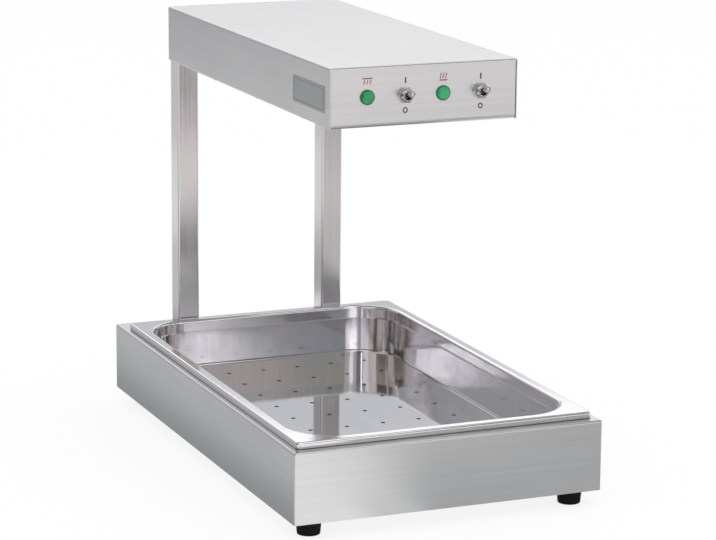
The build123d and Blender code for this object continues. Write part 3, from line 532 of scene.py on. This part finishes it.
def heat_mark(shape, lamp, line, waves):
    """A line and three waves above a lamp, for the heater that it belongs to."""
    spot = middle(lamp)
    width, rise = line
    bar(shape, spot.x, spot.z + heat_rise + rise, width, heat_line)
    pitch, height, rise = waves
    for step in (-1, 0, 1):
        bar(shape, spot.x + step * pitch, spot.z + heat_rise + rise, stroke, height, heat_wave)


heat_marks = bmesh.new()
heat_mark(
    heat_marks,
    "lamp_nut_left",
    (hood_line_width, hood_line_rise),
    (hood_wave_pitch, hood_wave_height, hood_wave_rise),
)
heat_mark(
    heat_marks,
    "lamp_nut_right",
    (base_line_width, base_line_rise),
    (base_wave_pitch, base_wave_height, base_wave_rise),
)
print_off("heat_marks", heat_marks, red_ink)

# Rating plate: a printed frame round its bare face
frame_inset = 0.0022
frame_line = 0.0009
low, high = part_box("rating_plate")
plate_frame = bmesh.new()
bmesh.ops.create_grid(plate_frame, x_segments=1, y_segments=1, size=0.5)
length = high[1] - low[1] - 2 * frame_inset
height = high[2] - low[2] - 2 * frame_inset
bmesh.ops.scale(plate_frame, verts=plate_frame.verts, vec=(length, height, 1))
field = list(plate_frame.faces)
bmesh.ops.inset_region(
    plate_frame,
    faces=field,
    thickness=frame_line,
    use_boundary=True,
    use_even_offset=True,
)
bmesh.ops.delete(plate_frame, geom=field, context="FACES_ONLY")
sideways = Matrix.Rotation(math.radians(-90), 4, "Z") @ Matrix.Rotation(math.radians(90), 4, "X")
bmesh.ops.transform(plate_frame, matrix=sideways, verts=plate_frame.verts)
spot = middle("rating_plate")
bmesh.ops.translate(plate_frame, verts=plate_frame.verts, vec=(low[0], spot.y, spot.z))
thicken(plate_frame, (-ink_thickness, 0, 0))
piece("plate_frame", plate_frame, grey_ink, "base")

# Cable gland cap: grip ribs round its side
low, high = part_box("gland_cap")
spot = middle("gland_cap")
cap_radius = (high[0] - low[0]) / 2
cap_length = high[1] - low[1]
cap_bore = 0.0050
cap_thread = 0.0082
cap_thread_depth = 0.0082
rib_count = 16
rib_steps = 6
rib_depth = 0.0007
rib_end = 0.0105
rib_margin = 0.0001
shoulder_in, shoulder_end = 0.0009, 0.0125
nose_in = 0.0030
gland_cap = bmesh.new()
turned(
    gland_cap,
    (
        (cap_thread, 0),
        (cap_radius, 0),
        (cap_radius, -rib_end),
        (cap_radius - shoulder_in, -shoulder_end),
        (cap_radius - nose_in, -cap_length),
        (cap_bore, -cap_length),
        (cap_bore, -cap_thread_depth),
        (cap_thread, -cap_thread_depth),
    ),
    rib_steps * rib_count,
    Vector((spot.x, low[1], spot.z)),
    closed=True,
)
close_up(gland_cap)
for point in gland_cap.verts:
    arm = Vector((point.co.x - spot.x, 0, point.co.z - spot.z))
    if arm.length > cap_radius - rib_margin:
        phase = rib_count * math.atan2(arm.z, arm.x)
        point.co -= arm.normalized() * rib_depth * (0.5 - 0.5 * math.cos(phase))
made = piece("ribbed_gland_cap", gland_cap, finishes["gland_plastic"], "base")
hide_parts("gland_cap")


# Studio: surroundings, floor, cards and the softbox
sky_light = 0.96
floor_reach = 7.0
floor_tone = 0.98
floor_glow = 0.82


def seen_directly(tree):
    """One for the camera, for reflections and for what shows through, nought for other light."""
    ray = add_node(tree, "LightPath")
    glossy = ray.outputs["Is Glossy Ray"]
    through = ray.outputs["Is Transmission Ray"]
    bounced = combine(tree, "MAXIMUM", glossy, through)
    return combine(tree, "MAXIMUM", bounced, ray.outputs["Is Camera Ray"])


world = bpy.data.worlds.new("studio")
scene.world = world
world.use_nodes = True
air = world.node_tree
sky = air.nodes["Background"]
sky.inputs["Color"].default_value = (1, 1, 1, 1)
air.links.new(spread(air, seen_directly(air), 0.0, 1.0, sky_light, 1.0), sky.inputs["Strength"])


def sheet_object(name, low, high):
    """A flat rectangle of the studio between two corners, with its place in its mesh."""
    size = Vector(high) - Vector(low)
    mesh = bpy.data.meshes.new(name)
    shape = bmesh.new()
    bmesh.ops.create_grid(shape, x_segments=1, y_segments=1, size=0.5)
    for axis, across in (("X", size.y), ("Y", size.x)):
        if across == 0:
            upright = Matrix.Rotation(math.radians(90), 4, axis)
            bmesh.ops.transform(shape, matrix=upright, verts=shape.verts)
    bmesh.ops.scale(shape, verts=shape.verts, vec=[length or 1 for length in size])
    bmesh.ops.translate(shape, verts=shape.verts, vec=(Vector(low) + Vector(high)) / 2)
    shape.to_mesh(mesh)
    shape.free()
    made = bpy.data.objects.new(name, mesh)
    scene.collection.objects.link(made)
    return made


def make_floor():
    """Pale floor that keeps the shadow and is white where nothing shades it."""
    made = sheet_object("floor", (-floor_reach, -floor_reach, 0), (floor_reach, floor_reach, 0))
    look = bpy.data.materials.new("floor_white")
    look.use_nodes = True
    tree = look.node_tree
    tree.nodes.clear()
    matt = add_node(tree, "BsdfDiffuse")
    matt.inputs["Color"].default_value = (floor_tone, floor_tone, floor_tone, 1)
    glow = add_node(tree, "Emission")
    mix = add_node(tree, "MixShader")
    out = add_node(tree, "OutputMaterial")
    tree.links.new(spread(tree, seen_directly(tree), 0.0, 1.0, 0.0, floor_glow), mix.inputs["Fac"])
    tree.links.new(matt.outputs["BSDF"], mix.inputs[1])
    tree.links.new(glow.outputs["Emission"], mix.inputs[2])
    tree.links.new(mix.outputs["Shader"], out.inputs["Surface"])
    made.data.materials.append(look)


make_floor()


def studio_card(name, colour, low, high):
    """A card or curtain of the studio that only shows in polished metal."""
    made = sheet_object(name, low, high)
    look = bpy.data.materials.new(name)
    look.use_nodes = True
    tree = look.node_tree
    tree.nodes.clear()
    glow = add_node(tree, "Emission")
    glow.inputs["Color"].default_value = (*colour, 1)
    out = add_node(tree, "OutputMaterial")
    tree.links.new(glow.outputs["Emission"], out.inputs["Surface"])
    made.data.materials.append(look)
    made.visible_camera = False
    made.visible_diffuse = False
    made.visible_shadow = False
    made.visible_transmission = False


room_left, room_right = -3.4, 3.4
room_front, room_back = -3.2, 3.2
room_top = 3.2
step_low, step_right, step_front, step_middle = 0.55, 0.92, 0.95, 1.08
step_back, step_left, step_top, step_high = 1.12, 1.22, 1.30, 1.70
band_top, far_band_top = 1.17, 1.20
card_rise = 0.002

# Edges between cards on the front, on the two sides, on the back and on the ceiling
bar_left, bar_right = -2.5, -1.9
dim_left, dim_right = -1.36, -1.0
window_left, window_right = -1.62, -1.50
window_low, window_proud = 0.97, 0.01
middle_left, middle_split, middle_right = -0.6, 0.0, 0.62
strip_1, strip_2, strip_3, strip_4, strip_5 = 1.09, 1.145, 1.175, 1.205, 1.24
strips_end, high_right = 1.45, 1.38
left_front, right_front = -1.85, -1.95
side_middle, side_back = -1.12, -0.3
back_middle = -0.3
ceiling_middle, ceiling_right = -0.7, 1.42

# Edges between cards on the floor: rows along Y, then columns along X
base_row, near_row, first_row, second_row, third_row = -0.30, -0.42, -0.70, -1.0, -1.38
side_row, behind_row, far_row = 0.68, 1.1, 1.8
line_front, patch_front, patch_back = -0.82, -2.1, -1.58
floor_left, floor_right = -2.6, 1.8
front_left, front_split, front_right = -1.0, 0.01, 0.36
near_left, near_right = -0.07, -0.01
second_left, third_right = -0.5, 0.58
line_left, line_right = 0.23, 0.46
patch_left, patch_right = 0.50, 0.82
edge_column, near_column, strip_column, wide_column = -0.175, -0.215, -0.25, -0.33
behind_left, behind_right = -0.2, 0.0


def on_front(left, right, low, high, proud=0.0):
    """Corners of a card on the front side of the room."""
    return (left, room_front + proud, low), (right, room_front + proud, high)


def on_back(left, right, low, high):
    """Corners of a card on the back side of the room."""
    return (left, room_back, low), (right, room_back, high)


def on_left(front, back, low, high):
    """Corners of a card on the left side of the room."""
    return (room_left, front, low), (room_left, back, high)


def on_right(front, back, low, high):
    """Corners of a card on the right side of the room."""
    return (room_right, front, low), (room_right, back, high)


def on_top(left, right, front, back):
    """Corners of a card under the ceiling."""
    return (left, front, room_top), (right, back, room_top)


def on_floor(left, right, front, back, rise=card_rise):
    """Corners of a card that lies on the floor."""
    return (left, front, rise), (right, back, rise)


cards = {
    "front_far_left": ((0.95, 0.92, 0.98), on_front(room_left, bar_left, 0, room_top)),
    "front_left_bar": ((1.08, 0.93, 1.02), on_front(bar_left, bar_right, 0, step_front)),
    "front_left_bar_gap": ((0.25, 0.25, 0.25), on_front(bar_left, bar_right, step_front, step_top)),
    "front_left_bar_high": ((1.15, 1.00, 1.04), on_front(bar_left, bar_right, step_top, room_top)),
    "front_left_side": ((1.00, 0.97, 1.04), on_front(bar_right, dim_left, 0, step_front)),
    "front_left_low": ((0.38, 0.41, 0.44), on_front(dim_left, dim_right, 0, step_front)),
    "front_left_inner": ((0.75, 0.70, 0.77), on_front(dim_right, middle_left, 0, step_front)),
    "front_left_high": ((0.20, 0.20, 0.20), on_front(bar_right, middle_left, step_front, room_top)),
    "front_left_window": (
        (5.00, 4.80, 5.05),
        on_front(window_left, window_right, window_low, step_high, window_proud),
    ),
    "front_left_curtain": (
        (0.15, 0.15, 0.16),
        on_front(bar_right, window_left, window_low, step_high, window_proud),
    ),
    "front_middle_low": ((1.82, 1.75, 1.83), on_front(middle_left, middle_right, 0, step_front)),
    "front_middle_gap": (
        (0.05, 0.05, 0.05),
        on_front(middle_left, middle_right, step_front, step_middle),
    ),
    "front_middle_high": ((0.60, 0.57, 0.58), on_front(middle_left, middle_split, step_middle, room_top)),
    "front_middle_bar": ((1.30, 1.26, 1.28), on_front(middle_split, middle_right, step_middle, room_top)),
    "front_right_bottom": ((1.88, 1.93, 1.93), on_front(middle_right, room_right, 0, step_low)),
    "front_right_low": ((0.55, 0.48, 0.52), on_front(middle_right, strip_1, step_low, step_front)),
    "front_right_low_1": ((2.30, 2.20, 2.32), on_front(strip_1, strip_2, step_low, step_front)),
    "front_right_low_2": ((1.50, 1.48, 1.54), on_front(strip_2, strip_3, step_low, step_front)),
    "front_right_low_3": ((0.85, 0.86, 0.89), on_front(strip_3, strip_4, step_low, step_front)),
    "front_right_low_4": ((0.50, 0.51, 0.53), on_front(strip_4, strip_5, step_low, step_front)),
    "front_right_low_5": ((0.36, 0.38, 0.39), on_front(strip_5, strips_end, step_low, step_front)),
    "front_far_right_low": ((1.00, 0.97, 1.02), on_front(strips_end, room_right, step_low, step_front)),
    "front_right_band": ((0.49, 0.47, 0.45), on_front(middle_right, high_right, step_front, band_top)),
    "front_right_high": ((0.63, 0.55, 0.54), on_front(middle_right, high_right, band_top, step_high)),
    "front_right_top": ((0.58, 0.57, 0.57), on_front(middle_right, high_right, step_high, room_top)),
    "front_far_right_band": (
        (0.26, 0.27, 0.25),
        on_front(high_right, room_right, step_front, far_band_top),
    ),
    "front_far_right_high": (
        (0.38, 0.38, 0.35),
        on_front(high_right, room_right, far_band_top, room_top),
    ),
    "left_front": ((0.80, 0.66, 0.63), on_left(room_front, left_front, 0, step_high)),
    "left_middle_low": ((0.08, 0.08, 0.07), on_left(left_front, side_middle, 0, step_middle)),
    "left_middle_high": ((0.84, 0.80, 0.80), on_left(left_front, side_middle, step_middle, step_high)),
    "left_back_low": ((0.10, 0.10, 0.09), on_left(side_middle, room_back, 0, step_left)),
    "left_back_high": ((0.44, 0.37, 0.33), on_left(side_middle, room_back, step_left, step_high)),
    "left_top": ((0.66, 0.65, 0.65), on_left(room_front, room_back, step_high, room_top)),
    "back_left_low": ((0.45, 0.45, 0.47), on_back(room_left, back_middle, 0, step_left)),
    "back_left_high": ((0.95, 0.95, 0.97), on_back(room_left, back_middle, step_left, room_top)),
    "back_right_low": ((0.67, 0.67, 0.71), on_back(back_middle, room_right, 0, step_back)),
    "back_right_high": ((1.50, 1.50, 1.50), on_back(back_middle, room_right, step_back, room_top)),
    "right_front_low": ((0.02, 0.03, 0.02), on_right(room_front, right_front, 0, step_right)),
    "right_front_high": ((0.92, 0.80, 0.77), on_right(room_front, right_front, step_right, step_top)),
    "right_middle_low": ((0.02, 0.03, 0.02), on_right(right_front, side_middle, 0, step_back)),
    "right_middle_high": ((0.92, 0.80, 0.77), on_right(right_front, side_middle, step_back, step_top)),
    "right_back": ((0.90, 0.75, 0.71), on_right(side_middle, side_back, 0, step_top)),
    "right_far_back": ((0.80, 0.79, 0.79), on_right(side_back, room_back, 0, step_top)),
    "right_top": ((0.82, 0.81, 0.81), on_right(room_front, room_back, step_top, room_top)),
    "ceiling_front": ((1.30, 1.30, 1.30), on_top(room_left, ceiling_right, room_front, ceiling_middle)),
    "ceiling_front_right": (
        (0.20, 0.20, 0.20),
        on_top(ceiling_right, room_right, room_front, ceiling_middle),
    ),
    "ceiling_back": ((0.20, 0.20, 0.20), on_top(room_left, room_right, ceiling_middle, room_back)),
    "floor_front_left_near": ((1.13, 1.13, 1.13), on_floor(front_left, near_left, near_row, base_row)),
    "floor_front_middle_near": ((0.82, 0.83, 0.83), on_floor(near_left, near_right, near_row, base_row)),
    "floor_front_right_near": (
        (0.49, 0.50, 0.51),
        on_floor(near_right, front_right, near_row, base_row),
    ),
    "floor_front_left": ((1.13, 1.13, 1.13), on_floor(front_left, front_split, first_row, near_row)),
    "floor_front_right": ((0.47, 0.49, 0.49), on_floor(front_split, front_right, first_row, near_row)),
    "floor_front_line": (
        (0.08, 0.08, 0.08),
        on_floor(line_left, line_right, line_front, first_row, 2 * card_rise),
    ),
    "floor_right_near": ((0.70, 0.66, 0.66), on_floor(front_right, floor_right, first_row, base_row)),
    "floor_right_second": (
        (0.93, 0.88, 0.88),
        on_floor(front_right, floor_right, second_row, first_row),
    ),
    "floor_front_second": (
        (1.32, 1.25, 1.25),
        on_floor(second_left, front_right, second_row, first_row),
    ),
    "floor_front_third": ((1.20, 1.09, 1.11), on_floor(second_left, third_right, third_row, second_row)),
    "floor_right_third": ((0.52, 0.52, 0.52), on_floor(third_right, floor_right, third_row, second_row)),
    "floor_front_far": ((0.42, 0.37, 0.37), on_floor(second_left, floor_right, room_front, third_row)),
    "floor_front_patch": (
        (0.15, 0.13, 0.13),
        on_floor(patch_left, patch_right, patch_front, patch_back, 2 * card_rise),
    ),
    "floor_left_edge": ((0.36, 0.38, 0.39), on_floor(near_column, edge_column, base_row, side_row)),
    "floor_left_near": ((0.50, 0.52, 0.53), on_floor(strip_column, near_column, base_row, side_row)),
    "floor_left_strip": ((0.74, 0.75, 0.76), on_floor(wide_column, strip_column, base_row, side_row)),
    "floor_left_wide": ((0.50, 0.52, 0.53), on_floor(floor_left, wide_column, base_row, side_row)),
    "floor_left_second": ((0.70, 0.70, 0.70), on_floor(floor_left, behind_left, side_row, behind_row)),
    "floor_left_behind": ((0.50, 0.50, 0.50), on_floor(behind_left, behind_right, side_row, behind_row)),
    "floor_left_third": ((0.92, 0.92, 0.92), on_floor(floor_left, behind_right, behind_row, far_row)),
    "floor_left_far": ((0.70, 0.71, 0.71), on_floor(floor_left, behind_right, far_row, room_back)),
}
for name, (colour, (low, high)) in cards.items():
    studio_card(name, colour, low, high)


def softbox(name, place, target, width, height, radiance):
    """Rectangular lamp of a given brightness, turned to a target."""
    light = bpy.data.lights.new(name, "AREA")
    light.shape = "RECTANGLE"
    light.size = width
    light.size_y = height
    light.energy = radiance * math.pi * width * height
    made = bpy.data.objects.new(name, light)
    aim = (Vector(target) - Vector(place)).to_track_quat("-Z", "Y")
    made.matrix_world = Matrix.Translation(place) @ aim.to_matrix().to_4x4()
    made.visible_camera = False
    scene.collection.objects.link(made)


light_place = (0.2, -0.3, 2.2)
light_side = 2.0
light_radiance = 0.6
softbox("top_light", light_place, (0, 0, 0), light_side, light_side, light_radiance)
